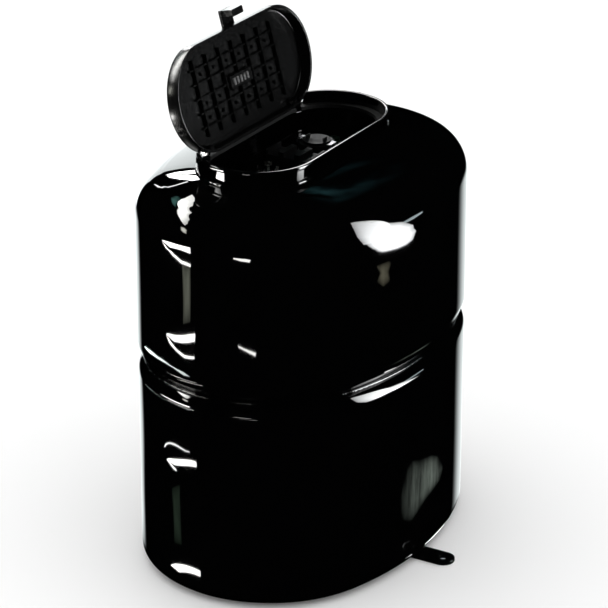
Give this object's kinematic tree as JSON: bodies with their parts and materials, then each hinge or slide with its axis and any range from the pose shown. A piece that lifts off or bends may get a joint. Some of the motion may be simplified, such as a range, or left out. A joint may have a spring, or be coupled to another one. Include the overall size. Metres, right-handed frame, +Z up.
{
  "type": "hermetic refrigeration compressor",
  "caption": "Oval welded hermetic refrigeration compressor with a hinged terminal cover, rolling-piston pump and motor inside, and side hold-down lugs.",
  "frame": {"origin": "centre of the hold-down hole pattern, on the floor plane", "axes": "+Z up; X along the long axis of the oval shell, with the suction side at +X; Y across it, with the cover's hinge and the tube stubs at +Y"},
  "size_m": [0.354, 0.299, 0.4562],
  "materials": {
    "black_gloss_paint": "high-gloss black paint over drawn steel",
    "black_plastic": "moulded black plastic, semi-gloss",
    "seal_rubber": "matt rubber",
    "zinc_steel": "bright zinc-plated steel",
    "seal_glass": "sealing glass bead",
    "dark_plastic": "black phenolic",
    "green_screw": "green dyed screw",
    "copper": "bare copper tube",
    "grey_iron": "machined grey iron",
    "lamination_steel": "stacked laminations",
    "winding_copper": "varnished copper wire",
    "lacing_tape": "polyester lacing",
    "lead_sleeve": "sleeved lead",
    "cast_aluminium": "die-cast aluminium",
    "brass": "brass casting",
    "ground_steel": "ground steel",
    "spring_steel": "spring steel"
  },
  "bodies": {
    "root": {"lower_shell": "black_gloss_paint", "upper_shell": "black_gloss_paint", "girth_weld": "black_gloss_paint", "base_plate": "black_gloss_paint", "terminal_box": "black_gloss_paint", "box_gasket": "seal_rubber", "hinge_pins": "zinc_steel", "hinge_ears": "black_gloss_paint", "hermetic_terminal": "zinc_steel", "terminal_glass": "seal_glass", "terminal_pins": "zinc_steel", "terminal_block": "dark_plastic", "overload_protector": "dark_plastic", "protector_clip": "zinc_steel", "ground_screw": "green_screw", "lead_grommet": "seal_rubber", "suction_stub": "copper", "discharge_stub": "copper", "process_stub": "copper", "stay_plate": "grey_iron", "stator_sleeve": "grey_iron", "stator_core": "lamination_steel", "upper_winding": "winding_copper", "lower_winding": "winding_copper", "winding_ties": "lacing_tape", "motor_leads": "lead_sleeve", "upper_bearing": "grey_iron", "lower_bearing": "grey_iron", "cylinder": "grey_iron", "vane": "ground_steel", "vane_spring": "spring_steel", "reed_stop": "ground_steel", "discharge_muffler": "zinc_steel", "pump_bolts": "zinc_steel", "lower_bolts": "zinc_steel", "accumulator": "black_gloss_paint", "accumulator_inlet": "copper", "pump_suction_pipe": "copper", "accumulator_band": "zinc_steel"},
    "cover": {"terminal_cover": "black_plastic"},
    "rotor": {"rotor_core": "lamination_steel", "rotor_end_rings": "cast_aluminium", "balance_weights": "brass", "crankshaft": "ground_steel", "oil_paddle": "zinc_steel"},
    "roller": {"roller": "ground_steel"},
    "reed": {"discharge_reed": "spring_steel"}
  },
  "joints": [
    {"name": "cover_hinge", "type": "hinge", "parent": "root", "child": "cover", "pos_m": [-0.007, 0.0453, 0.3598], "axis": [1, 0, 0], "range_deg": [0, 105]},
    {"name": "shaft_spin", "type": "hinge", "parent": "root", "child": "rotor", "pos_m": [-0.045, 0, 0.075], "axis": [0, 0, 1], "continuous": true},
    {"name": "roller_spin", "type": "hinge", "parent": "rotor", "child": "roller", "pos_m": [-0.0395, 0, 0.075], "axis": [0, 0, 1], "continuous": true},
    {"name": "reed_flex", "type": "hinge", "parent": "root", "child": "reed", "pos_m": [-0.0234, -0.04062, 0.09702], "axis": [0.8829, 0.4695, 0], "range_deg": [0, 5], "stiffness_Nm_per_rad": 0.05}
  ],
  "couplings": [
    {"joint": "roller_spin", "follows": "shaft_spin", "ratio": -1}
  ]
}
